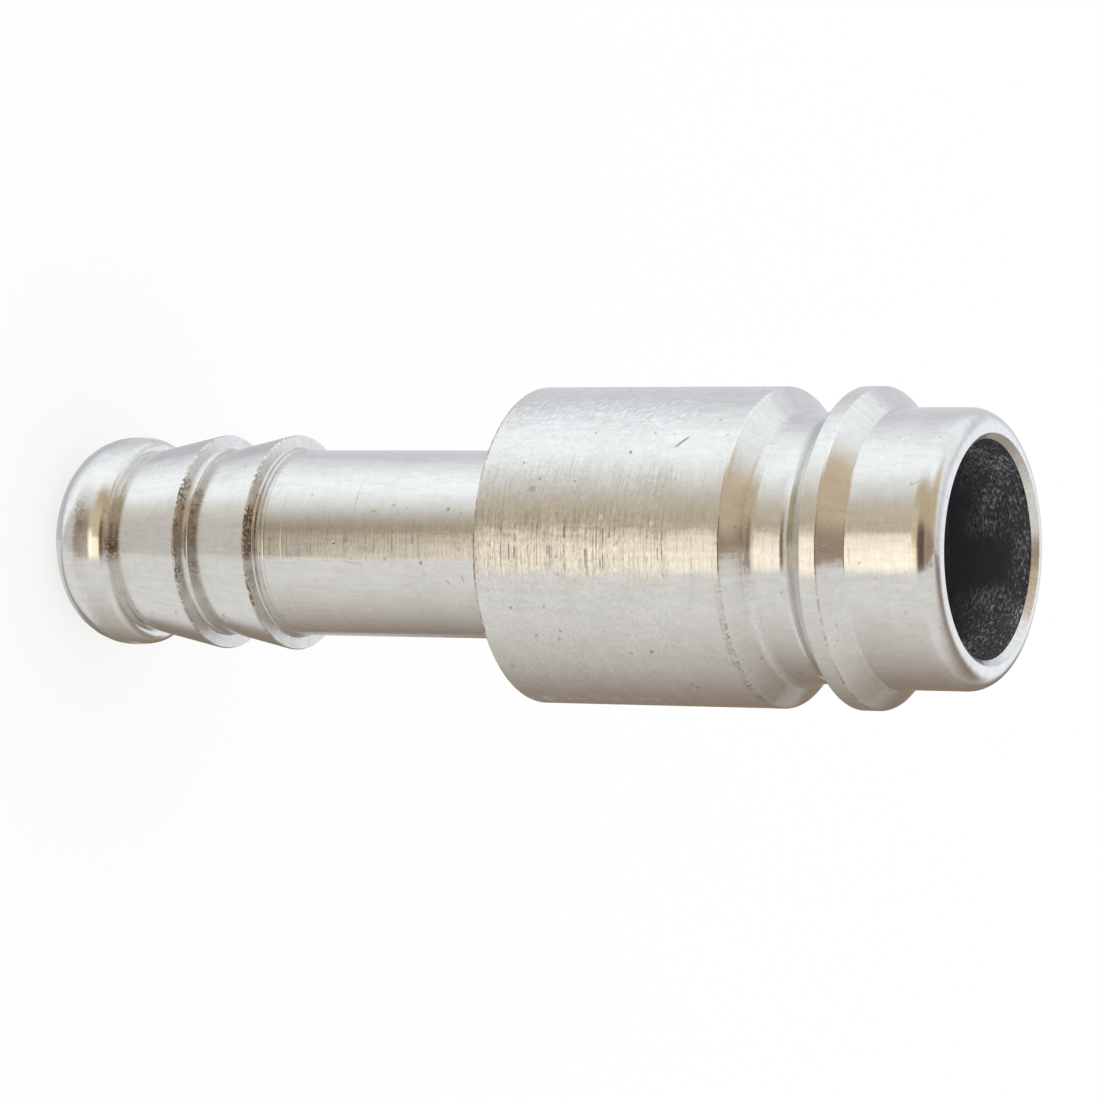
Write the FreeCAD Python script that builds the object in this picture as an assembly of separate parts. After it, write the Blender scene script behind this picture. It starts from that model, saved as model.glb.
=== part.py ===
import FreeCAD, Part
import math
import os

# Hose nipple, turned in one piece from round bar. It stands on the rounded end of its
# hose tail: the origin is the centre of that end, and +Z runs along the axis to the mouth
# of the coupling end. All sizes are in millimetres.

# Bore, wide from the coupling end and narrow through the hose tail
coupling_bore_d = 10.5
coupling_bore_depth = 20.0
hose_bore_d = 6.5
drill_point_angle = 118.0
mouth_chamfer = 0.3

# Rounded head of the hose tail, with the flat ring that it stands on. Its crown falls
# gently behind the crest and then turns down to the first barb.
tip_flat_d = 7.1
head_d = 10.6
head_dome_radius = 2.75
head_crest_length = 0.35
head_crown_radius = 2.6
head_crown_angle = 14.0
head_back_radius = 0.57

# Barbs, each a cone that widens from the tip and ends in a short steep step
barb_count = 2
barb_d = 10.87
barb_root_d = 9.1
first_barb_z = 8.16
barb_pitch = 4.11
barb_step = 0.06
barb_crest_chamfer = 0.05
barb_root_chamfer = 0.25

# Smooth stem that the hose clamp closes on
stem_d = 9.33
stem_length = 14.22
stem_root_chamfer = 0.2

# Body, from its shoulder to the edge of the locking groove
body_d = 15.55
body_length = 13.23
shoulder_chamfer = 0.1

# Locking groove for the coupling's balls, which seat in its wide front foot
groove_d = 13.1
groove_back_flank = 0.97
groove_back_radius = 0.6
groove_floor = 2.12
groove_front_flank = 1.1
groove_front_radius = 1.0
ridge_chamfer = 0.07

# Collar in front of the groove, and its lead-in chamfer
collar_land = 0.87
collar_chamfer = 1.01
collar_foot_chamfer = 0.09

# Nose that the coupling's seal closes on
nose_d = 13.5
nose_length = 4.6
nose_edge_radius = 1.15

# A rounded or chamfered corner takes at most this share of a run that it has to itself
corner_share = 0.96


def point(z, r):
    """A point of the turned outline, at height z and radius r."""
    return FreeCAD.Vector(r, 0, z)


def line(start, end):
    return Part.LineSegment(start, end).toShape()


def arc(start, middle, end):
    return Part.Arc(start, middle, end).toShape()


def sharp(z, r):
    return {"place": point(z, r), "radius": 0, "leg": 0}


def rounded(z, r, radius):
    """A corner with a tangent arc."""
    return {"place": point(z, r), "radius": radius, "leg": 0}


def chamfered(z, r, leg):
    """A corner cut flat, or filled flat where it is hollow, over this much of each side."""
    return {"place": point(z, r), "radius": 0, "leg": leg}


def cut_edges(corner, back, ahead, room):
    """Edges that replace a corner between runs that go back and ahead, or none if it is sharp."""
    half_angle = back.getAngle(ahead) / 2
    reach = min(room, corner["leg"] + corner["radius"] / math.tan(half_angle))
    if reach == 0:
        return []
    toward_back = FreeCAD.Vector(back).normalize()
    toward_ahead = FreeCAD.Vector(ahead).normalize()
    first = corner["place"] + toward_back * reach
    last = corner["place"] + toward_ahead * reach
    if corner["leg"] > 0:
        return [line(first, last)]
    inward = (toward_back + toward_ahead).normalize()
    arc_depth = reach * (1 - math.sin(half_angle)) / math.cos(half_angle)
    return [arc(first, corner["place"] + inward * arc_depth, last)]


def run_through(corners):
    """Edges from the first corner to the last, with each corner between them cut as it says."""
    shared_by = [2 if corner["radius"] + corner["leg"] > 0 else 1 for corner in corners]
    edges = []
    start = corners[0]["place"]
    for index in range(1, len(corners) - 1):
        corner = corners[index]
        back = corners[index - 1]["place"] - corner["place"]
        ahead = corners[index + 1]["place"] - corner["place"]
        room = corner_share * min(back.Length / shared_by[index - 1], ahead.Length / shared_by[index + 1])
        cut = cut_edges(corner, back, ahead, room)
        end = cut[0].Vertexes[0].Point if cut else corner["place"]
        edges += [line(start, end)] + cut
        start = cut[-1].Vertexes[-1].Point if cut else end
    edges.append(line(start, corners[-1]["place"]))
    return edges


def turned_arc(centre_z, centre_r, radius, from_angle, to_angle):
    """An arc of the outline. Angle 0 points along +Z and 90 degrees points outward."""
    angles = (from_angle, (from_angle + to_angle) / 2, to_angle)
    ends = [point(centre_z + radius * math.cos(a), centre_r + radius * math.sin(a)) for a in angles]
    return arc(*ends)


def head():
    """Outline of the head: standing ring, dome, crest, crown and the turn down behind it."""
    head_r = head_d / 2
    dome_centre_r = head_r - head_dome_radius
    flat_r = max(tip_flat_d / 2, dome_centre_r)
    dome_end_angle = math.pi - math.asin((flat_r - dome_centre_r) / head_dome_radius)
    dome_centre_z = -head_dome_radius * math.cos(dome_end_angle)
    crest_end_z = dome_centre_z + head_crest_length
    crown_end_angle = math.pi / 2 - math.radians(head_crown_angle)
    # the back arc's centre lies on the crown's last radius, so the two arcs meet tangent
    centre_gap = head_crown_radius - head_back_radius
    back_centre_z = crest_end_z + centre_gap * math.cos(crown_end_angle)
    back_centre_r = head_r - head_crown_radius + centre_gap * math.sin(crown_end_angle)
    head_end_z = back_centre_z + head_back_radius
    return [
        line(point(0, hose_bore_d / 2), point(0, flat_r)),
        turned_arc(dome_centre_z, dome_centre_r, head_dome_radius, dome_end_angle, math.pi / 2),
        line(point(dome_centre_z, head_r), point(crest_end_z, head_r)),
        turned_arc(crest_end_z, head_r - head_crown_radius, head_crown_radius, math.pi / 2, crown_end_angle),
        turned_arc(back_centre_z, back_centre_r, head_back_radius, crown_end_angle, 0),
        line(point(head_end_z, back_centre_r), point(head_end_z, barb_root_d / 2)),
    ]


def tail_corners(head_end_z):
    """Corners of the barbs and of the stem, up to the shoulder."""
    corners = [sharp(head_end_z, barb_root_d / 2)]
    for number in range(barb_count):
        crest_z = first_barb_z + number * barb_pitch
        foot_z = crest_z + barb_step
        foot_r = stem_d / 2 if number == barb_count - 1 else barb_root_d / 2
        corners.append(chamfered(crest_z, barb_d / 2, barb_crest_chamfer))
        corners.append(chamfered(foot_z, foot_r, barb_root_chamfer))
    shoulder_z = foot_z + stem_length
    corners.append(chamfered(shoulder_z, stem_d / 2, stem_root_chamfer))
    corners.append(chamfered(shoulder_z, body_d / 2, shoulder_chamfer))
    return corners


def coupling_corners(shoulder_z):
    """Corners from the edge of the groove round the mouth and down the bore to the tip."""
    groove_z = shoulder_z + body_length
    floor_start_z = groove_z + groove_back_flank
    floor_end_z = floor_start_z + groove_floor
    collar_z = floor_end_z + groove_front_flank
    collar_end_z = collar_z + collar_land
    nose_z = collar_end_z + collar_chamfer
    mouth_z = nose_z + nose_length
    bore_r = coupling_bore_d / 2
    mouth_r = bore_r + mouth_chamfer
    bore_end_z = mouth_z - coupling_bore_depth
    drill_cone = (bore_r - hose_bore_d / 2) / math.tan(math.radians(drill_point_angle / 2))
    return [
        chamfered(groove_z, body_d / 2, ridge_chamfer),
        rounded(floor_start_z, groove_d / 2, groove_back_radius),
        rounded(floor_end_z, groove_d / 2, groove_front_radius),
        chamfered(collar_z, body_d / 2, ridge_chamfer),
        chamfered(collar_end_z, body_d / 2, ridge_chamfer),
        chamfered(nose_z, nose_d / 2, collar_foot_chamfer),
        rounded(mouth_z, nose_d / 2, nose_edge_radius),
        sharp(mouth_z, mouth_r),
        sharp(mouth_z - mouth_chamfer, bore_r),
        sharp(bore_end_z, bore_r),
        sharp(bore_end_z - drill_cone, hose_bore_d / 2),
        sharp(0, hose_bore_d / 2),
    ]


def hose_nipple():
    """One closed outline, turned once round the axis."""
    head_edges = head()
    tail = tail_corners(head_edges[-1].Vertexes[-1].Point.z)
    shoulder_z = tail[-1]["place"].z
    edges = head_edges + run_through(tail + coupling_corners(shoulder_z))
    section = Part.Face(Part.Wire(edges))
    return section.revolve(FreeCAD.Vector(0, 0, 0), FreeCAD.Vector(0, 0, 1), 360)


os.makedirs("parts", exist_ok=True)
nipple = hose_nipple()
nipple.exportStep("parts/hose_nipple.step")
print("height", round(nipple.BoundBox.ZMax, 3), "volume", round(nipple.Volume, 1))
print("valid", nipple.isValid(), "centre of mass z", round(nipple.CenterOfMass.z, 2))
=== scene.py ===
import math
import bpy
import numpy as np
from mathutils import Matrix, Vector, noise


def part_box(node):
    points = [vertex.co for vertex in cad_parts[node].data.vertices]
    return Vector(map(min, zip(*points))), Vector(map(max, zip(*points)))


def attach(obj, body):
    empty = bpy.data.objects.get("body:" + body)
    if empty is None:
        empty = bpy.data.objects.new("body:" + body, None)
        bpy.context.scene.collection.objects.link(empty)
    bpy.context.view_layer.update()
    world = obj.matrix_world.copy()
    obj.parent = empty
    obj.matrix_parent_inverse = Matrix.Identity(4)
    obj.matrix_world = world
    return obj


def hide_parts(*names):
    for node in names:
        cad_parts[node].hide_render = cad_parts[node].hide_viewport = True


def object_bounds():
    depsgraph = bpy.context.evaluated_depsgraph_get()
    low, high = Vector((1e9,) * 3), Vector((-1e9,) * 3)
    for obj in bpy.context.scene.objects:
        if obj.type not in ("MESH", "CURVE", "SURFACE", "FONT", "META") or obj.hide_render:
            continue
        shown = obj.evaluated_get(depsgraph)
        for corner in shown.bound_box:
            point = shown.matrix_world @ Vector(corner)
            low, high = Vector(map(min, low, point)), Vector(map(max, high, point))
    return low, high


# The hose nipple stands on its tail, +Z up to the mouth of the coupling end. Lengths in this
# script are in millimetres until they reach Blender, which gets metres. Round the axis,
# azimuth 0 faces the camera and grows towards +X.
MM = 0.001

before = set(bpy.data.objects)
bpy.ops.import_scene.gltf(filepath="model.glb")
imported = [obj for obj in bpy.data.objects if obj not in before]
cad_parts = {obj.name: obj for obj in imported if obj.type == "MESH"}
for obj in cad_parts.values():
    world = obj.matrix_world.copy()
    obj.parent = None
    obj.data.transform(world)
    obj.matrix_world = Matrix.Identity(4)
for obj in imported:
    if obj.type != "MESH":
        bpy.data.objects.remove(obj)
cad_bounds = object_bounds()
tail_end, mouth_end = (corner.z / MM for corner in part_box("hose_nipple"))

# Outline of the turned surface, heights from the tail end and radii from the axis
BODY_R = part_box("hose_nipple")[1].x / MM
STEM_R = 4.665
BARB_R = 5.435
BARB_ROOT_R = 4.55
HEAD_R = 5.3
TIP_FLAT_R = 3.55
NOSE_R = 6.75
GROOVE_R = 6.55
COUPLING_BORE_R = 5.25
HOSE_BORE_R = 3.25

HEAD_DOME_RADIUS = 2.75
HEAD_CREST_LENGTH = 0.35
HEAD_CROWN_RADIUS = 2.6
HEAD_CROWN_ANGLE = math.radians(14)
HEAD_BACK_RADIUS = 0.57
FIRST_BARB = 8.16
SECOND_BARB = 12.27
BARB_STEP = 0.06
BARB_CREST_RADIUS = 0.08
BARB_ROOT_RADIUS = 0.25
BARB_EDGE_LENGTH = 0.15
LEDGE_R = 4.75
LEDGE_LENGTH = 0.27
LEDGE_FALL = 0.04
LEDGE_ROOT_RADIUS = 0.1
LEDGE_TOP_RADIUS = 0.02
LEDGE_FOOT_RADIUS = 0.05
STEM_LENGTH = 14.22
STEM_ROOT_RADIUS = 0.15
SHOULDER_RADIUS = 0.12
BODY_LENGTH = 13.23
ROUGH_BODY_LENGTH = 10.5
GROOVE_BACK_FLANK = 0.97
GROOVE_BACK_RADIUS = 0.6
GROOVE_FLOOR = 2.12
GROOVE_FRONT_FLANK = 1.1
GROOVE_FRONT_RADIUS = 1.0
RIDGE_RADIUS = 0.15
DARKENED_STRIP_LENGTH = 0.3
COLLAR_BACK_RADIUS = 0.075
COLLAR_LAND = 0.87
COLLAR_CHAMFER = 1.01
NOSE_ROOT_RADIUS = 0.1
NOSE_EDGE_RADIUS = 1.15
MOUTH_CHAMFER = 0.3
MOUTH_EDGE_RADIUS = 0.05
GRAIN_DEPTH = 4.6
COUPLING_BORE_DEPTH = 20.0
DRILL_CONE = 1.2

# Mesh density: columns round the axis, and the longest step of each kind of run
COLUMNS = 240
LONG_STEP = 7.5
COARSE_STEP = 2.5
PLAIN_STEP = 0.4
SHORT_STEP = 0.24
GRAIN_STEP = 0.16
FINE_STEP = 0.12
HOLD_STEP = 0.03
ARC_STEP = math.radians(11)
# Rows of the mesh this near to each other are one
SAME_PLACE = 1e-4

WHITE = (1.0, 1.0, 1.0)


def linear(red, green, blue):
    """A colour written as it shows on screen, made linear by the sRGB curve.

    Above 255 it is brighter than white.
    """
    shares = (red / 255, green / 255, blue / 255)
    return tuple(s / 12.92 if s <= 0.04045 else ((s + 0.055) / 1.055) ** 2.4 for s in shares)


class Graph:
    """Short ways to add nodes to a node tree."""

    def __init__(self, tree):
        self.tree = tree

    def add(self, kind, inputs=None, **settings):
        node = self.tree.nodes.new(kind)
        for name, value in settings.items():
            setattr(node, name, value)
        for key, value in (inputs or {}).items():
            self.feed(node.inputs[key], value)
        return node

    def feed(self, socket, value):
        if isinstance(value, bpy.types.NodeSocket):
            self.tree.links.new(value, socket)
        elif isinstance(value, tuple) and len(value) == 3 and socket.type == "RGBA":
            socket.default_value = (*value, 1.0)
        else:
            socket.default_value = value

    def math(self, operation, *values):
        node = self.add("ShaderNodeMath", operation=operation)
        for index, value in enumerate(values):
            self.feed(node.inputs[index], value)
        return node.outputs[0]

    def total(self, *values):
        result = values[0]
        for value in values[1:]:
            result = self.math("ADD", result, value)
        return result

    def product(self, *values):
        result = values[0]
        for value in values[1:]:
            result = self.math("MULTIPLY", result, value)
        return result

    def vector(self, operation, first, second=None):
        node = self.add("ShaderNodeVectorMath", {0: first}, operation=operation)
        if second is not None:
            self.feed(node.inputs[1], second)
        return node.outputs[0]

    def ramp_up(self, value, start, end):
        """0 below start, 1 above end, smooth between them. Runs down if end is the lower."""
        falls = end < start
        low, high = (end, start) if falls else (start, end)
        inputs = {
            "Value": value,
            "From Min": low,
            "From Max": high,
            "To Min": float(falls),
            "To Max": float(not falls),
        }
        return self.add("ShaderNodeMapRange", inputs, interpolation_type="SMOOTHSTEP").outputs["Result"]

    def window(self, value, low, high, soft):
        """1 between low and high, with edges this soft."""
        rise = self.ramp_up(value, low - soft / 2, low + soft / 2)
        fall = self.ramp_up(value, high + soft / 2, high - soft / 2)
        return self.product(rise, fall)

    def mix(self, share, first, second):
        """Two colours mixed. The sockets go by number, because the node has others of each name."""
        return self.add("ShaderNodeMix", {0: share, 6: first, 7: second}, data_type="RGBA").outputs[2]

    def combine(self, x, y, z):
        return self.add("ShaderNodeCombineXYZ", {"X": x, "Y": y, "Z": z}).outputs[0]

    def noise(self, vector, detail=2.0, roughness=0.5):
        """Noise about zero, mostly between -0.25 and 0.25."""
        inputs = {"Vector": vector, "Scale": 1.0, "Detail": detail, "Roughness": roughness}
        return self.math("SUBTRACT", self.add("ShaderNodeTexNoise", inputs).outputs["Fac"], 0.5)

    def attribute(self, name):
        return self.add("ShaderNodeAttribute", attribute_name=name).outputs["Fac"]


# Mean colour of the turned steel
STEEL = (0.74, 0.73, 0.71)

# The room that the metal mirrors, from the farthest thing to the nearest. Azimuth runs as
# round the nipple; polar 0 looks up along +Z. Each colour is written as it shows on the steel.
HALL = (194, 195, 198)
EVERY = (-60, 260, 10)
# name: azimuth from, to and softness; polar from, to and softness; colour
ROOM = {
    "white_card": ((-110, 90, 60), EVERY, (237, 241, 241)),
    "top_card": ((-140, -88, 24), (36, 84, 20), (228, 231, 232)),
    "brown_wall": ((-44, 90, 60), EVERY, (164, 154, 138)),
    "brown_ceiling": ((-94, 90, 28), (-60, 50, 20), (184, 166, 139)),
    "dark_ceiling": ((-24, 90, 24), (-60, 47, 20), (146, 126, 109)),
    "tan_wall": ((-56, 0, 20), (44, 110, 8), (176, 160, 132)),
    "golden_wall": ((-34, 90, 20), (88, 118.5, 4), (189, 178, 160)),
    "upper_frame": ((-20, 90, 14), (50, 91, 10), (92, 76, 66)),
    "lower_frame": ((-24, 90, 36), (119, 140.5, 3.5), (108, 92, 74)),
    "lamp_edge": ((-12, 8, 12), (119.6, 125, 1.6), (72, 58, 46)),
    "floor_glow": ((-54, 90, 30), (139, 146, 3), (208, 204, 196)),
    "floor_back": ((-40, 90, 50), (142, 260, 5), (188, 183, 176)),
    "cream_lamp": ((-11, 90, 8), (93, 118, 3.2), (286, 275, 256)),
    "lamp_corner": ((-14, 2, 6), (116.5, 119.6, 1.2), (206, 185, 160)),
    "lamp_shade": ((-30, -2, 8), (86, 111, 4), (194, 178, 146)),
    "lamp_top": ((-2, 90, 8), (86, 111, 4), (251, 237, 208)),
    "pale_table": ((18.5, 168, 8), EVERY, (206, 204, 199)),
    "table_shade": ((97, 300, 130), (80, 260, 20), (126, 112, 97)),
    "high_shade": ((114, 300, 84), (-60, 80, 20), (126, 112, 97)),
    "floor_step": ((50, 130, 40), (130, 260, 16), (207, 206, 202)),
    "floor_side": ((130, 158, 24), (130, 150, 16), (118, 111, 102)),
    "floor_end": ((150, 200, 16), (136, 200, 10), (196, 195, 192)),
    "table_far": ((150, 175, 10), (119.4, 121.6, 1.2), (180, 178, 175)),
    "hall_end": ((174, 200, 6), EVERY, HALL),
    "hall_floor": ((-200, -130, 20), (121.5, 200, 2), (176, 177, 180)),
    "left_card": ((-220, -156, 16), (34, 84, 16), (228, 231, 234)),
    "right_card": ((156, 220, 16), (34, 84, 16), (228, 231, 234)),
}


def light_for(tone):
    """The light that shows as this colour on the steel."""
    return tuple(light / share for light, share in zip(linear(*tone), STEEL))


def room(graph, direction):
    """Colour of the mirrored room in a direction."""
    split = graph.add("ShaderNodeSeparateXYZ", {"Vector": direction}).outputs
    azimuth = graph.math("ARCTAN2", split["X"], graph.product(split["Y"], -1.0))
    azimuth = graph.math("DEGREES", azimuth)
    polar = graph.math("DEGREES", graph.math("ARCCOSINE", split["Z"]))
    colour = light_for(HALL)
    for across, along, tone in ROOM.values():
        share = graph.window(azimuth, *across)
        if along is not EVERY:
            share = graph.product(share, graph.window(polar, *along))
        colour = graph.mix(share, colour, light_for(tone))
    return colour


def build_world():
    """Plain white light for the camera and the floor; metal mirrors the room."""
    world = bpy.data.worlds.new("studio")
    world.use_nodes = True
    world.node_tree.nodes.clear()
    graph = Graph(world.node_tree)
    direction = graph.add("ShaderNodeTexCoord").outputs["Generated"]
    glossy = graph.add("ShaderNodeLightPath").outputs["Is Glossy Ray"]
    colour = graph.mix(glossy, WHITE, room(graph, direction))
    background = graph.add("ShaderNodeBackground", {"Color": colour, "Strength": 1.0})
    graph.add("ShaderNodeOutputWorld", {"Surface": background.outputs[0]})
    world.cycles.sampling_method = "NONE"
    bpy.context.scene.world = world


# Side of the floor in metres, and the share of its light that shadows can take away
FLOOR_SIZE = 1.2
FLOOR_SHARE = 0.3


def build_floor():
    """A white floor that keeps a soft shadow. The metal mirrors the room in its place."""
    bpy.ops.mesh.primitive_plane_add(size=FLOOR_SIZE, location=(0, 0, cad_bounds[0][2]))
    floor = bpy.context.object
    floor.name = "floor"
    floor.visible_glossy = False
    material = bpy.data.materials.new("white_floor")
    material.use_nodes = True
    material.node_tree.nodes.clear()
    graph = Graph(material.node_tree)
    lit = graph.add("ShaderNodeBsdfDiffuse", {"Color": (FLOOR_SHARE,) * 3})
    even = graph.add("ShaderNodeEmission", {"Color": WHITE, "Strength": 1 - FLOOR_SHARE})
    both = graph.add("ShaderNodeAddShader", {0: lit.outputs[0], 1: even.outputs[0]})
    graph.add("ShaderNodeOutputMaterial", {"Surface": both.outputs[0]})
    floor.data.materials.append(material)


# Camera of the photograph: it looks down on the side of the nipple, and is rolled onto its
# own side. Its turns are in degrees.
CAMERA_PLACE = (0.0, -247.78, 160.41)
CAMERA_TURN = (-1.146, -61.63, 91.246)
CAMERA_LENS = 186.86
SENSOR = 36.0


def build_camera():
    data = bpy.data.cameras.new("camera")
    data.lens = CAMERA_LENS
    data.sensor_width = SENSOR
    data.clip_start = 0.01
    data.clip_end = 10.0
    camera = bpy.data.objects.new("camera", data)
    camera.location = Vector(CAMERA_PLACE) * MM
    camera.rotation_euler = tuple(math.radians(turn) for turn in CAMERA_TURN)
    bpy.context.scene.collection.objects.link(camera)
    bpy.context.scene.camera = camera


class Outline:
    """Rows of the turned surface, each a height, a radius and its finish."""

    def __init__(self):
        self.rows = []

    def row(self, place, finish):
        if not self.rows or math.dist(self.rows[-1][:2], place) > SAME_PLACE:
            self.rows.append((*place, finish))

    def run(self, start, end, step, finish):
        """A straight run, with a short first and last step that hold the shading flat."""
        length = math.dist(start, end)
        shares = [0.0]
        inner = length - 2 * HOLD_STEP
        if inner > HOLD_STEP:
            count = math.ceil(inner / step)
            shares += [(HOLD_STEP + inner * i / count) / length for i in range(count + 1)]
        shares.append(1.0)
        for share in shares:
            self.row(tuple(a + share * (b - a) for a, b in zip(start, end)), finish)

    def arc(self, centre, radius, start, end, finish):
        """An arc from one angle to another. Angle 0 points along +Z, 90 degrees outward."""
        count = max(3, math.ceil(abs(end - start) / ARC_STEP))
        for i in range(count + 1):
            angle = start + (end - start) * i / count
            place = (centre[0] + radius * math.cos(angle), centre[1] + radius * math.sin(angle))
            self.row(place, finish)

    def corner(self, before, place, after, radius, finish):
        """The tangent arc that rounds a corner: where it starts, what draws it, where it ends."""
        back = Vector(before) - Vector(place)
        ahead = Vector(after) - Vector(place)
        half_angle = back.angle(ahead) / 2
        reach = radius / math.tan(half_angle)
        inward = (back.normalized() + ahead.normalized()).normalized()
        centre = Vector(place) + inward * radius / math.sin(half_angle)
        first = Vector(place) + back.normalized() * reach
        last = Vector(place) + ahead.normalized() * reach
        start = math.atan2(first.y - centre.y, first.x - centre.x)
        turn = math.atan2(last.y - centre.y, last.x - centre.x) - start
        turn = (turn + math.pi) % (2 * math.pi) - math.pi
        return tuple(first), (tuple(centre), radius, start, start + turn, finish), tuple(last)


# What a finish gives each row: turning lines, matt scatter, rough grain, brown grime that is partly
# painted shade and painted reflection, and bright wear that is partly painted highlight; then the azimuth
# at which the grime and painted shade is thickest and how far it spreads.
# Matt scatter up to 1 also speckles the metal, and above that it only blurs.
FINISHES = {
    # The grime on the dome, behind the head, on the barb steps and at the roots is mostly painted shade
    # and painted reflection; the wear on the barb edges and ridges is mostly painted highlight.
    "polished": (0.1, 0.15, 0.0, 0.0, 0.0, 0, 40),
    "dome": (0.1, 0.8, 0.0, 0.8, 0.0, -6, 19),
    "head_turn": (0.0, 0.5, 0.0, 0.5, 0.0, -5, 20),
    "head_back": (0.0, 0.8, 0.0, 1.3, 0.0, -3, 16),
    "cone": (0.14, 0.35, 0.0, 0.0, 0.0, 0, 40),
    "barb_edge": (0.0, 0.8, 0.5, 1.2, 1.0, 0, 70),
    "barb_step": (0.2, 2.4, 0.35, 1.3, 0.0, -8, 34),
    "root": (0.1, 0.6, 0.0, 0.25, 0.0, 0, 50),
    "ledge": (0.1, 0.5, 0.0, 0.5, 0.0, 0, 60),
    "stem": (0.15, 0.4, 0.0, 0.0, 0.0, 0, 40),
    "shoulder": (0.3, 0.5, 0.0, 0.5, 0.0, 60, 90),
    "shoulder_edge": (0.2, 0.5, 0.1, 0.9, 0.0, 40, 240),
    "body": (1.0, 0.9, 0.0, 0.0, 0.0, 0, 40),
    "body_end": (0.3, 0.5, 0.0, 0.0, 0.0, 0, 40),
    # the strip of body before the ridge is darker towards azimuth 55
    "darkened_strip": (0.3, 0.6, 0.0, 0.5, 0.0, 55, 42),
    "ridge": (0.2, 0.6, 0.15, 0.75, 0.7, 50, 45),
    "satin": (0.15, 0.4, 0.0, 0.0, 0.0, 0, 40),
    "fillet": (0.1, 1.6, 0.0, 0.0, 0.0, 0, 40),
    "mouth": (0.2, 1.2, 0.06, 0.05, 0.0, 0, 90),
    "bore_grain": (0.0, 1.0, 1.0, 0.0, 0.0, 0, 40),
    "bore": (0.4, 1.0, 0.1, 0.0, 0.0, 0, 40),
}
FINISH_PARTS = ("lines", "matt", "grain", "grime_and_shade", "wear_and_highlight")


def head_outline(shape):
    """Standing ring, dome, crest, crown and the turn down behind it. Returns where it ends."""
    shape.run((0, HOSE_BORE_R), (0, TIP_FLAT_R), COARSE_STEP, "polished")
    dome_centre_r = HEAD_R - HEAD_DOME_RADIUS
    dome_start = math.pi - math.asin((TIP_FLAT_R - dome_centre_r) / HEAD_DOME_RADIUS)
    dome_z = -HEAD_DOME_RADIUS * math.cos(dome_start)
    speckled_from = math.pi / 2 + HEAD_CROWN_ANGLE
    shape.arc((dome_z, dome_centre_r), HEAD_DOME_RADIUS, dome_start, speckled_from, "polished")
    shape.arc((dome_z, dome_centre_r), HEAD_DOME_RADIUS, speckled_from, math.pi / 2, "dome")
    crest_end = dome_z + HEAD_CREST_LENGTH
    crown_end = math.pi / 2 - HEAD_CROWN_ANGLE
    crown_r = HEAD_R - HEAD_CROWN_RADIUS
    shape.arc((crest_end, crown_r), HEAD_CROWN_RADIUS, math.pi / 2, crown_end, "polished")
    centre_gap = HEAD_CROWN_RADIUS - HEAD_BACK_RADIUS
    back_z = crest_end + centre_gap * math.cos(crown_end)
    back_r = crown_r + centre_gap * math.sin(crown_end)
    # From here the turn down behind the head carries painted shade.
    grime_and_shade_from = math.pi / 4
    shape.arc((back_z, back_r), HEAD_BACK_RADIUS, crown_end, grime_and_shade_from, "head_turn")
    shape.arc((back_z, back_r), HEAD_BACK_RADIUS, grime_and_shade_from, 0, "head_back")
    return back_z + HEAD_BACK_RADIUS, back_r


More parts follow.
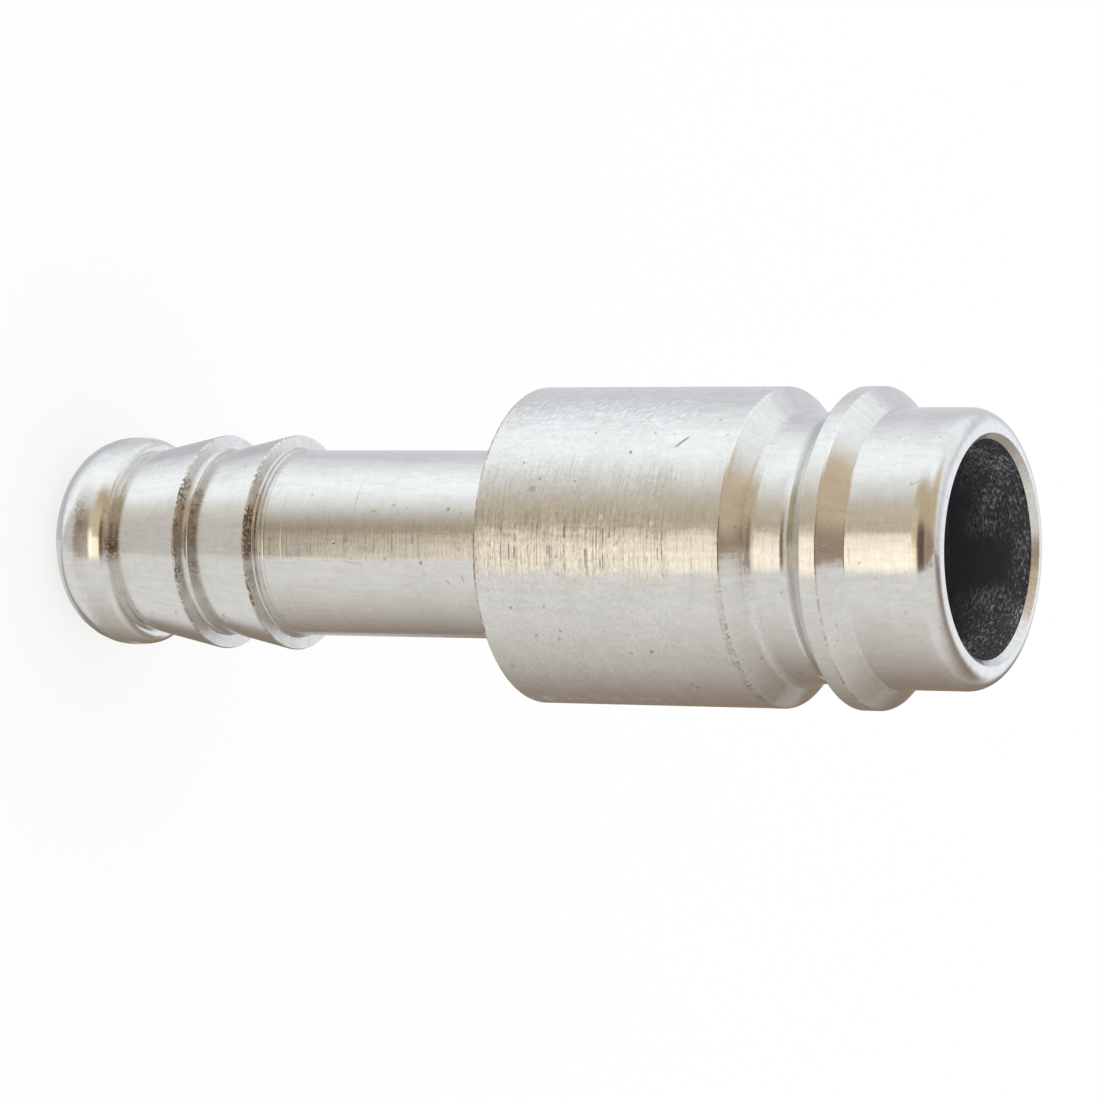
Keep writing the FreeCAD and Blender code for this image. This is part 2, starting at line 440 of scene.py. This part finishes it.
def outline():
    """The whole outline, out from the tail end, up the outside and back down the bore."""
    shape = Outline()
    head_end, back_r = head_outline(shape)
    first_root = FIRST_BARB + BARB_STEP
    edge_rise = (BARB_R - BARB_ROOT_R) * BARB_EDGE_LENGTH
    first_edge = (FIRST_BARB - BARB_EDGE_LENGTH, BARB_R - edge_rise / (FIRST_BARB - head_end))
    second_edge = (SECOND_BARB - BARB_EDGE_LENGTH, BARB_R - edge_rise / (SECOND_BARB - first_root))
    second_root = SECOND_BARB + BARB_STEP
    ledge_end = second_root + LEDGE_LENGTH
    shoulder = second_root + STEM_LENGTH
    rough_end = shoulder + ROUGH_BODY_LENGTH
    groove = shoulder + BODY_LENGTH
    floor_start = groove + GROOVE_BACK_FLANK
    floor_end = floor_start + GROOVE_FLOOR
    collar = floor_end + GROOVE_FRONT_FLANK
    collar_end = collar + COLLAR_LAND
    nose = collar_end + COLLAR_CHAMFER
    mouth_r = COUPLING_BORE_R + MOUTH_CHAMFER
    bore_end = mouth_end - COUPLING_BORE_DEPTH
    # each corner: height and radius, step and finish of the run that leads to it, then the
    # radius and finish of its rounding, or None
    corners = (
        ((head_end, BARB_ROOT_R), FINE_STEP, "head_back", None),
        (first_edge, PLAIN_STEP, "cone", None),
        ((FIRST_BARB, BARB_R), FINE_STEP, "barb_edge", (BARB_CREST_RADIUS, "barb_edge")),
        ((first_root, BARB_ROOT_R), FINE_STEP, "barb_step", (BARB_ROOT_RADIUS, "root")),
        (second_edge, PLAIN_STEP, "cone", None),
        ((SECOND_BARB, BARB_R), FINE_STEP, "barb_edge", (BARB_CREST_RADIUS, "barb_edge")),
        ((second_root, LEDGE_R), FINE_STEP, "barb_step", (LEDGE_ROOT_RADIUS, "root")),
        ((ledge_end - LEDGE_FALL, LEDGE_R), FINE_STEP, "ledge", (LEDGE_TOP_RADIUS, "root")),
        ((ledge_end, STEM_R), FINE_STEP, "ledge", (LEDGE_FOOT_RADIUS, "root")),
        ((shoulder, STEM_R), PLAIN_STEP, "stem", (STEM_ROOT_RADIUS, "root")),
        ((shoulder, BODY_R), PLAIN_STEP, "shoulder", (SHOULDER_RADIUS, "shoulder_edge")),
        ((rough_end, BODY_R), PLAIN_STEP, "body", None),
        ((groove - DARKENED_STRIP_LENGTH, BODY_R), PLAIN_STEP, "body_end", None),
        ((groove, BODY_R), FINE_STEP, "darkened_strip", (RIDGE_RADIUS, "ridge")),
        ((floor_start, GROOVE_R), SHORT_STEP, "satin", (GROOVE_BACK_RADIUS, "fillet")),
        ((floor_end, GROOVE_R), PLAIN_STEP, "satin", (GROOVE_FRONT_RADIUS, "satin")),
        ((collar, BODY_R), SHORT_STEP, "satin", (COLLAR_BACK_RADIUS, "satin")),
        ((collar_end, BODY_R), SHORT_STEP, "satin", (RIDGE_RADIUS, "ridge")),
        ((nose, NOSE_R), SHORT_STEP, "satin", (NOSE_ROOT_RADIUS, "satin")),
        ((mouth_end, NOSE_R), PLAIN_STEP, "satin", (NOSE_EDGE_RADIUS, "satin")),
        ((mouth_end, mouth_r), FINE_STEP, "mouth", (MOUTH_EDGE_RADIUS, "mouth")),
        ((mouth_end - MOUTH_CHAMFER, COUPLING_BORE_R), FINE_STEP, "mouth", (MOUTH_EDGE_RADIUS, "mouth")),
        ((mouth_end - GRAIN_DEPTH, COUPLING_BORE_R), GRAIN_STEP, "bore_grain", None),
        ((bore_end, COUPLING_BORE_R), COARSE_STEP, "bore", None),
        ((bore_end - DRILL_CONE, HOSE_BORE_R), COARSE_STEP, "bore", None),
        ((0, HOSE_BORE_R), LONG_STEP, "bore", None),
    )
    start = (head_end, back_r)
    for i, (place, step, finish, rounding) in enumerate(corners):
        if rounding is None:
            shape.run(start, place, step, finish)
            start = place
        else:
            first, bend, last = shape.corner(corners[i - 1][0], place, corners[i + 1][0], *rounding)
            shape.run(start, first, step, finish)
            shape.arc(*bend)
            start = last
    rows = shape.rows
    if math.dist(rows[0][:2], rows[-1][:2]) < SAME_PLACE:
        rows.pop()
    return rows


# Rough grain lies in from the outline: noise of this size, where it is below its top, times
# this height
GRAIN_SIZE = 0.3
GRAIN_TOP = 0.4
GRAIN_HEIGHT = 0.025
# Grime with its painted shade, and wear with its painted highlight, are patchy: size of the patches, their
# mean and how much noise changes it
PATCH_SIZE = 0.7
PATCH_MEAN = 0.7
PATCH_SWING = 0.9
# Azimuth at which the edges are most worn and carry the most painted highlight, and how far that spreads
WEAR_AND_HIGHLIGHT_SIDE = -62
WEAR_AND_HIGHLIGHT_SPREAD = 75


def patchy_share(place, azimuth, side, spread):
    """How much of a mark a place has: patchy, and less away from its thickest side."""
    turn = (azimuth - math.radians(side) + math.pi) % (2 * math.pi) - math.pi
    share = math.exp(-((turn / math.radians(spread)) ** 2))
    return share * max(0.0, min(1.0, PATCH_MEAN + PATCH_SWING * noise.noise(place / PATCH_SIZE)))


def turned_points(rows):
    """Places in a ring for each row, and the parts of the finish at each place."""
    heights = np.array([row[0] for row in rows])
    radii = np.array([row[1] for row in rows])
    finish = np.array([FINISHES[row[2]] for row in rows])
    along_z = np.roll(heights, -1) - np.roll(heights, 1)
    along_r = np.roll(radii, -1) - np.roll(radii, 1)
    length = np.hypot(along_z, along_r)
    out_z, out_r = -along_r / length, along_z / length
    azimuths = np.arange(COLUMNS) * 2 * math.pi / COLUMNS
    places = np.zeros((len(rows), COLUMNS, 3))
    parts = np.repeat(finish[:, None, : len(FINISH_PARTS)], COLUMNS, axis=1)
    grime_and_shade_part, wear_and_highlight_part = FINISH_PARTS.index("grime_and_shade"), FINISH_PARTS.index("wear_and_highlight")
    for i in range(len(rows)):
        grain, grime_and_shade, wear_and_highlight, side, spread = finish[i, 2:]
        for j in range(COLUMNS):
            across, toward = math.sin(azimuths[j]), -math.cos(azimuths[j])
            place = Vector((radii[i] * across, radii[i] * toward, heights[i]))
            lift = 0.0
            if grain > 0:
                lift = GRAIN_HEIGHT * grain * min(0.0, noise.noise(place / GRAIN_SIZE) - GRAIN_TOP)
            # grime, partly painted shade and reflection, patchy and thickest at its side
            if grime_and_shade > 0:
                parts[i, j, grime_and_shade_part] *= patchy_share(place, azimuths[j], side, spread)
            # wear, partly painted highlight, patchy and strongest on one side
            if wear_and_highlight > 0:
                parts[i, j, wear_and_highlight_part] *= patchy_share(place, azimuths[j], WEAR_AND_HIGHLIGHT_SIDE, WEAR_AND_HIGHLIGHT_SPREAD)
            radius = radii[i] + lift * out_r[i]
            places[i, j] = (radius * across, radius * toward, heights[i] + lift * out_z[i])
    places[..., 2] = np.clip(places[..., 2], tail_end, mouth_end)
    return places, parts


def turned_faces(count):
    """Faces between this many rings, each by its four corners. The last ring meets the first."""
    row, column = np.meshgrid(np.arange(count), np.arange(COLUMNS), indexing="ij")
    next_row, next_column = (row + 1) % count, (column + 1) % COLUMNS
    corners = ((row, column), (row, next_column), (next_row, next_column), (next_row, column))
    return np.stack([r * COLUMNS + c for r, c in corners], axis=-1).reshape(-1, 4)


def build_nipple():
    """The turned surface as one closed mesh, with the finish of each row as attributes."""
    rows = outline()
    places, parts = turned_points(rows)
    faces = turned_faces(len(rows))
    mesh = bpy.data.meshes.new("turned_nipple")
    mesh.from_pydata((places.reshape(-1, 3) * MM).tolist(), [], faces.tolist())
    for k, name in enumerate(FINISH_PARTS):
        layer = mesh.attributes.new(name, "FLOAT", "POINT")
        layer.data.foreach_set("value", parts[..., k].ravel())
    in_bore = np.array([row[2] in ("bore", "bore_grain") for row in rows])
    bore_faces = in_bore & np.roll(in_bore, -1)
    mesh.polygons.foreach_set("material_index", np.repeat(bore_faces.astype(int), COLUMNS))
    mesh.polygons.foreach_set("use_smooth", np.ones(len(faces), bool))
    mesh.materials.append(turned_steel())
    mesh.materials.append(raw_bore())
    mesh.update()
    nipple = bpy.data.objects.new("turned_nipple", mesh)
    bpy.context.scene.collection.objects.link(nipple)
    return nipple


# Spots and marks are ragged: noise of this size, times this, shifts their places. A scratch
# or a single mark takes this share of the shift.
RAGGED_SIZE = 0.1
RAGGED_SHIFT = 0.34
MARK_SHARE = 0.5
# A mark is whole within this share of a spot's reach, a scratch's half width or a dot's width.
# A scratch fades over this length at its ends.
SPOT_CORE = 0.4
SCRATCH_CORE = 0.3
DOT_CORE = 0.2
SCRATCH_FADE = 0.3


def unrolled(mark):
    """A marked place, an azimuth in degrees and a height, on the surface laid out flat."""
    azimuth, height = mark
    return math.radians(azimuth) * (STEM_R if height < mouth_end / 2 else BODY_R), height


class Skin:
    """Shader coordinates on the turned surface, in millimetres, and marks that use them."""

    def __init__(self, graph):
        self.graph = graph
        place = graph.add("ShaderNodeTexCoord").outputs["Object"]
        self.place = graph.vector("MULTIPLY", place, (1 / MM,) * 3)
        split = graph.add("ShaderNodeSeparateXYZ", {"Vector": self.place}).outputs
        self.z = split["Z"]
        flat = graph.combine(split["X"], split["Y"], 0.0)
        unit = graph.add("ShaderNodeSeparateXYZ", {"Vector": graph.vector("NORMALIZE", flat)}).outputs
        self.x, self.y = unit["X"], unit["Y"]
        self.azimuth = graph.math("ARCTAN2", self.x, graph.product(self.y, -1.0))
        self.degrees = graph.math("DEGREES", self.azimuth)
        radius = graph.add("ShaderNodeVectorMath", {0: flat}, operation="LENGTH").outputs["Value"]
        self.around = graph.product(self.azimuth, radius)
        self.shift = graph.product(self.grit(RAGGED_SIZE), RAGGED_SHIFT)
        uneven = graph.product(self.shift, MARK_SHARE)
        self.mark_u = graph.total(self.around, uneven)
        self.mark_z = graph.math("SUBTRACT", self.z, uneven)
        self.mark_place = graph.combine(self.mark_u, self.mark_z, 0.0)

    def grit(self, size, detail=2.0):
        """Even noise with features of this size."""
        return self.graph.noise(self.graph.vector("MULTIPLY", self.place, (1 / size,) * 3), detail)

    def rings(self, turns, pitch, detail=1.0, roughness=0.5):
        """Noise in rings: it changes this many times a radian, and every pitch along the axis."""
        graph = self.graph
        across, toward = graph.product(self.x, turns), graph.product(self.y, turns)
        scaled = graph.combine(across, toward, graph.math("DIVIDE", self.z, pitch))
        return graph.noise(scaled, detail, roughness)

    def strokes(self, slant, length, width):
        """Noise in short strokes that slant away from the axis, by this many degrees."""
        graph = self.graph
        c, s = math.cos(math.radians(slant)), math.sin(math.radians(slant))
        ahead = graph.total(graph.product(self.z, c / length), graph.product(self.around, -s / length))
        aside = graph.total(graph.product(self.z, s / width), graph.product(self.around, c / width))
        return graph.noise(graph.combine(ahead, aside, 0.0), 1.0)

    def spots(self, cell, size):
        """Sparse ragged spots of many sizes: 1 at their middle. Sizes are in millimetres."""
        graph = self.graph
        offset = graph.combine(self.shift, self.shift, graph.product(self.shift, -1.0))
        ragged = graph.vector("ADD", self.place, offset)
        scaled = graph.vector("MULTIPLY", ragged, (1 / cell,) * 3)
        cells = graph.add("ShaderNodeTexVoronoi", {"Vector": scaled, "Scale": 1.0}).outputs
        chance = graph.add("ShaderNodeSeparateXYZ", {"Vector": cells["Color"]}).outputs["X"]
        reach = graph.product(chance, chance, size / cell)
        return graph.ramp_up(graph.math("DIVIDE", cells["Distance"], reach), 1.0, SPOT_CORE)

    def scratch(self, start, end, width, strength):
        """A straight scratch between two marked places, this much of it at its middle."""
        graph = self.graph
        (u0, z0), (u1, z1) = unrolled(start), unrolled(end)
        length = math.hypot(u1 - u0, z1 - z0)
        du, dz = (u1 - u0) / length, (z1 - z0) / length
        u = graph.math("SUBTRACT", self.mark_u, u0)
        z = graph.math("SUBTRACT", self.mark_z, z0)
        ahead = graph.total(graph.product(u, du), graph.product(z, dz))
        aside = graph.math("ABSOLUTE", graph.total(graph.product(u, dz), graph.product(z, -du)))
        ends = graph.window(ahead, 0, length, SCRATCH_FADE)
        return graph.product(ends, graph.ramp_up(aside, width, SCRATCH_CORE * width), strength)

    def dots(self, marks):
        """Ragged dots, each at a marked place, this wide and this strong."""
        graph = self.graph
        result = 0.0
        for place, width, strength in marks:
            centre = (*unrolled(place), 0.0)
            node = graph.add("ShaderNodeVectorMath", {0: self.mark_place, 1: centre}, operation="DISTANCE")
            dot = graph.ramp_up(node.outputs["Value"], width / 2, DOT_CORE * width)
            result = graph.math("MAXIMUM", result, graph.product(dot, strength))
        return result

    def leaning(self, normal, along, around):
        """The normal, leant along the axis and round it by these slopes."""
        graph = self.graph
        back = graph.product(around, -1.0)
        lean = graph.combine(graph.product(self.y, back), graph.product(self.x, around), along)
        to_world = {"vector_type": "VECTOR", "convert_from": "OBJECT", "convert_to": "WORLD"}
        lean = graph.add("ShaderNodeVectorTransform", {0: lean}, **to_world)
        return graph.vector("NORMALIZE", graph.vector("ADD", normal, lean.outputs[0]))


# Brown of grime, also used as painted shade and painted reflection
GRIME_AND_SHADE = linear(140, 120, 97)
SPECK = linear(138, 126, 100)
SCUFFED = (0.82, 0.82, 0.84)
# Bright of wear and nicks, also used as painted highlight
WORN_AND_HIGHLIGHT = (0.96, 0.96, 0.94)
MOTTLE_DARK = (0.63, 0.62, 0.6)
MOTTLE_LIGHT = (0.85, 0.84, 0.82)
# Bore colours: painted shadow in the pits of the torn metal, the bore's dark base, and painted glints
BORE_PIT_SHADOW = (0.03, 0.03, 0.032)
BORE_DARK = (0.135, 0.132, 0.15)
BORE_GLINT = (0.86, 0.84, 0.8)

# Slopes that the turning marks give the surface, and heights of the marks in millimetres
FINE_LEAN = 0.2
FEED_LEAN = 0.025
CUT_LEAN = 0.1
BROAD_LEAN = 0.05
FLECK_LEAN = 0.1
STREAK_LEAN = 0.12
JAGGED_LEAN = 0.12
SCUFF_LEAN = 0.4
NICK_LEAN = 0.1
GRIT = 0.0032
STEP_GRAIN = 0.012
PIT = 0.01
BORE_GRAIN = 0.1

# Noise in rings: changes in a radian and pitch along the axis. The torn metal also has fine
# detail, and the roughness of that.
FINE_RINGS = (3, 0.08)
CUTS = (1.2, 0.15)
CUT_BREAKS = (14, 0.8)
BROAD_RINGS = (2, 0.5)
FLECKS = (22, 0.1)
STREAKS = (30, 2.0)
JAGGED = (9, 0.11)
TORN_METAL = (22, 0.1, 4.0, 0.65)
# Even noise: size and detail, or size alone
FINE_GRIT = (0.16, 3.0)
CLOUDS = (2.4, 3.0)
BLOTCH_SIZE = 0.5
BORE_BLOTCH_SIZE = 1.8
# Shares of clouds, streaks and blotches in the mottle, and of blotches in the bore's painted glints
CLOUD_SHARE = 0.35
STREAK_SHARE = 0.45
BLOTCH_SHARE = 0.4
BORE_BLOTCH_SHARE = 0.4

# Scuffs: slant, length and width of a stroke; azimuth and height from, to and softness; share
# of them elsewhere on the rough body
SCUFF_STROKES = (55, 0.5, 0.09)
SCUFF_SIDE = (-88, -48, 14)
SCUFF_HEIGHTS = (27, 37.5, 2)
SCUFFS_ELSEWHERE = 0.08
# Small spots: width of a cell and radius of the largest spot; strength of them everywhere and
# what turned surfaces add to it
SPOTS = (0.75, 0.16)
SPOTS_EVERYWHERE = 0.15
SPOTS_ON_TURNED = 0.45
# How much a pit darkens the metal, and the depth of a tool ring as a share of a pit's
PIT_TONE = 0.75
TOOL_RING_SHARE = 0.4

# Where a value starts to count, and where it counts in full: the share of turning lines on a
# rough body and on any turned surface, then the noise that makes each kind of mark
ROUGH_BODY_FADE = (0.5, 0.9)
TURNED_FADE = (0.0, 0.25)
CUT_FADE = (0.06, 0.16)
CUT_BREAK_FADE = (-0.12, 0.08)
MOTTLE_FADE = (-0.55, 0.55)
SCUFF_FADE = (0.03, 0.12)
GRIME_AND_SHADE_FADE = (-0.14, 0.06)
WEAR_AND_HIGHLIGHT_FADE = (0.04, -0.12)
GLINT_FADE = (-0.02, 0.2)
HOLE_FADE = (-0.08, -0.2)

# Roughness of the plain steel, and what matt scatter, clouds, grime with its painted shade, and specks add
# to it
PLAIN_ROUGHNESS = 0.12
MATT_ROUGHNESS = 0.12
CLOUD_ROUGHNESS = 0.06
GRIME_AND_SHADE_ROUGHNESS = 0.25
SPECK_ROUGHNESS = 0.2
# Anisotropy of the turned metal, and its rotation as a share of a full turn
ANISOTROPY = 0.6
ANISOTROPY_TURN = 0.25

# Depths in the bore at which the torn metal, with its painted glints and painted pit shadows, starts, and
# at which it is whole: all round the mouth, and at the sides. It stays shallow where the direction's X is
# near this value, which is near azimuths 0 and 180.
TORN_MOUTH = (1.8, 0.4)
TORN_SIDES = (GRAIN_DEPTH, 1.6)
TORN_GAP = 0.11
TORN_GAP_FADE = (0.1, 0.4)
BORE_METALLIC = 0.6
BORE_ROUGHNESS = 0.4

# Scratches seen on the stem and the body: from, to, half width and strength
SCRATCHES = (
    ((-40, 18.0), (-18, 18.0), 0.035, 0.35),
    ((-37.5, 36.7), (-42, 37.2), 0.1, 0.75),
    ((11, 17.5), (12.5, 18.5), 0.04, 0.35),
    ((12.5, 18.5), (18, 18.5), 0.04, 0.35),
    ((22, 23.2), (25, 23.4), 0.06, 0.5),
    ((19, 24.1), (24, 24.2), 0.06, 0.5),
)
# Dark pits and bright nicks seen there: azimuth and height, then width and strength
PITS = (
    ((-76, 32.0), 0.2, 0.9),
    ((-35, 34.4), 0.24, 1.0),
    ((-30.5, 28.8), 0.18, 0.9),
    ((-24, 29.9), 0.26, 0.6),
    ((-23, 31.8), 0.2, 0.8),
    ((-20, 29.6), 0.5, 0.4),
    ((23, 28.4), 0.24, 0.7),
    ((32, 30.8), 0.24, 0.7),
    ((40.5, 35.4), 0.26, 0.9),
    ((-21, 23.3), 0.24, 0.9),
    ((-23.5, 20.2), 0.22, 0.5),
    ((0, 17.0), 0.22, 0.9),
    ((11.5, 21.9), 0.26, 0.9),
)
NICKS = (
    ((-10, 33.5), 0.42, 0.5),
    ((-8, 36.2), 0.26, 0.6),
    ((-19, 28.6), 0.24, 0.6),
)
# Faint tool rings on the stem behind the second barb: height and half width
TOOL_RINGS = ((12.91, 0.05), (13.95, 0.04))


def surface(name):
    """A new material with a metal shader, and the graph and the shader to work on."""
    material = bpy.data.materials.new(name)
    material.use_nodes = True
    material.node_tree.nodes.clear()
    graph = Graph(material.node_tree)
    shader = graph.add("ShaderNodeBsdfPrincipled", {"Metallic": 1.0})
    graph.add("ShaderNodeOutputMaterial", {"Surface": shader.outputs[0]})
    return material, graph, shader


def turned_steel():
    """Turned steel: ring lines, scuffs, scratches and specks, with grime and painted shade, and wear and
    painted highlight, where the rows ask for them.
    """
    material, graph, shader = surface("turned_steel")
    skin = Skin(graph)
    lines, matt, grain, grime_and_shade, wear_and_highlight = (graph.attribute(name) for name in FINISH_PARTS)

    # slopes along the axis and round it
    scuff_zone = graph.window(skin.degrees, *SCUFF_SIDE)
    scuff_zone = graph.product(scuff_zone, graph.window(skin.z, *SCUFF_HEIGHTS))
    scuff_zone = graph.math("MAXIMUM", scuff_zone, SCUFFS_ELSEWHERE)
    scuff_zone = graph.product(scuff_zone, graph.ramp_up(lines, *ROUGH_BODY_FADE))
    scuffs = graph.product(skin.strokes(*SCUFF_STROKES), scuff_zone)
    speckled = graph.math("MINIMUM", matt, 1.0)
    nicks = skin.dots(NICKS)
    fine_rings = skin.rings(*FINE_RINGS)
    cuts = graph.ramp_up(skin.rings(*CUTS), *CUT_FADE)
    cuts = graph.product(cuts, graph.ramp_up(skin.rings(*CUT_BREAKS), *CUT_BREAK_FADE))
    along = graph.total(
        graph.product(fine_rings, FINE_LEAN),
        graph.product(cuts, -CUT_LEAN),
        graph.product(skin.rings(*BROAD_RINGS), BROAD_LEAN),
        graph.product(skin.rings(*FLECKS), FLECK_LEAN),
        FEED_LEAN,
    )
    along = graph.total(graph.product(along, lines), graph.product(nicks, NICK_LEAN))
    streaks = skin.rings(*STREAKS)
    around = graph.total(
        graph.product(skin.rings(*JAGGED), speckled, JAGGED_LEAN),
        graph.product(streaks, speckled, STREAK_LEAN),
        graph.product(scuffs, SCUFF_LEAN),
        graph.product(nicks, NICK_LEAN),
    )

    # grit, pits and tool rings as relief
    fine = skin.grit(*FINE_GRIT)
    spot_share = graph.product(graph.ramp_up(lines, *TURNED_FADE), SPOTS_ON_TURNED)
    spot_share = graph.total(spot_share, SPOTS_EVERYWHERE)
    pits = graph.product(skin.spots(*SPOTS), spot_share)
    pits = graph.math("MAXIMUM", pits, skin.dots(PITS))
    dents = pits
    for height, width in TOOL_RINGS:
        ring = graph.ramp_up(graph.math("ABSOLUTE", graph.math("SUBTRACT", skin.z, height)), width, 0.0)
        dents = graph.math("MAXIMUM", dents, graph.product(ring, TOOL_RING_SHARE))
    relief = graph.total(
        graph.product(fine, speckled, GRIT),
        graph.product(fine, grain, STEP_GRAIN),
        graph.product(dents, -PIT),
    )
    bump = graph.add("ShaderNodeBump", {"Height": relief, "Distance": MM, "Strength": 1.0})
    normal = skin.leaning(bump.outputs[0], along, around)

    # colour: mottled steel, then scuffs, specks, grime with painted shade and painted reflection, and
    # bright wear with painted highlight
    scratched = skin.scratch(*SCRATCHES[0])
    for mark in SCRATCHES[1:]:
        scratched = graph.math("MAXIMUM", scratched, skin.scratch(*mark))
    speck = graph.math("MAXIMUM", graph.product(pits, PIT_TONE), scratched)
    cloud = skin.grit(*CLOUDS)
    mottle = graph.total(
        graph.product(fine, speckled),
        graph.product(cloud, CLOUD_SHARE),
        graph.product(streaks, STREAK_SHARE),
        graph.product(skin.grit(BLOTCH_SIZE), BLOTCH_SHARE),
    )
    colour = graph.mix(graph.ramp_up(mottle, *MOTTLE_FADE), MOTTLE_DARK, MOTTLE_LIGHT)
    colour = graph.mix(graph.ramp_up(scuffs, *SCUFF_FADE), colour, SCUFFED)
    colour = graph.mix(speck, colour, SPECK)
    # painted shade and painted reflection, with some real grime, where the rows ask for it
    dark = graph.product(grime_and_shade, graph.ramp_up(fine, *GRIME_AND_SHADE_FADE))
    colour = graph.mix(dark, colour, GRIME_AND_SHADE)
    # bright wear and nicks, partly painted highlight
    bright = graph.product(wear_and_highlight, graph.ramp_up(fine, *WEAR_AND_HIGHLIGHT_FADE))
    bright = graph.math("MAXIMUM", bright, nicks)
    colour = graph.mix(bright, colour, WORN_AND_HIGHLIGHT)
    roughness = graph.total(
        graph.product(matt, MATT_ROUGHNESS),
        graph.product(cloud, CLOUD_ROUGHNESS),
        graph.product(dark, GRIME_AND_SHADE_ROUGHNESS),
        graph.product(speck, SPECK_ROUGHNESS),
        PLAIN_ROUGHNESS,
    )
    tangent = graph.add("ShaderNodeTangent", direction_type="RADIAL", axis="Z").outputs[0]
    for name, value in {
        "Base Color": colour,
        "Roughness": roughness,
        "Anisotropic": ANISOTROPY,
        "Anisotropic Rotation": ANISOTROPY_TURN,
        "Tangent": tangent,
        "Normal": normal,
    }.items():
        graph.feed(shader.inputs[name], value)
    return material


def raw_bore():
    """The bore: torn metal near the mouth with painted glints and painted shadow in its pits, dark and
    even deeper down.
    """
    material, graph, shader = surface("raw_bore")
    skin = Skin(graph)
    torn = skin.rings(*TORN_METAL)
    aside = graph.math("ABSOLUTE", graph.math("SUBTRACT", skin.x, TORN_GAP))
    deep = graph.ramp_up(skin.z, *(mouth_end - depth for depth in TORN_SIDES))
    deep = graph.product(deep, graph.ramp_up(aside, *TORN_GAP_FADE))
    near_mouth = graph.ramp_up(skin.z, *(mouth_end - depth for depth in TORN_MOUTH))
    near_mouth = graph.math("MAXIMUM", deep, near_mouth)
    relief = graph.product(torn, near_mouth, BORE_GRAIN)
    bump = graph.add("ShaderNodeBump", {"Height": relief, "Distance": MM, "Strength": 1.0})
    raised = graph.total(torn, graph.product(skin.grit(BORE_BLOTCH_SIZE), BORE_BLOTCH_SHARE))
    # painted glints on the raised torn metal and painted shadow in its pits, only near the mouth and up
    # the sides
    glints = graph.product(graph.ramp_up(raised, *GLINT_FADE), near_mouth)
    pit_shadows = graph.product(graph.ramp_up(torn, *HOLE_FADE), near_mouth)
    colour = graph.mix(glints, BORE_DARK, BORE_GLINT)
    colour = graph.mix(pit_shadows, colour, BORE_PIT_SHADOW)
    graph.feed(shader.inputs["Base Color"], colour)
    graph.feed(shader.inputs["Metallic"], BORE_METALLIC)
    graph.feed(shader.inputs["Roughness"], BORE_ROUGHNESS)
    graph.feed(shader.inputs["Normal"], bump.outputs[0])
    return material


bpy.context.scene.view_settings.view_transform = "Standard"
build_world()
build_floor()
build_camera()
nipple = build_nipple()
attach(nipple, "root")
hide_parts("hose_nipple")
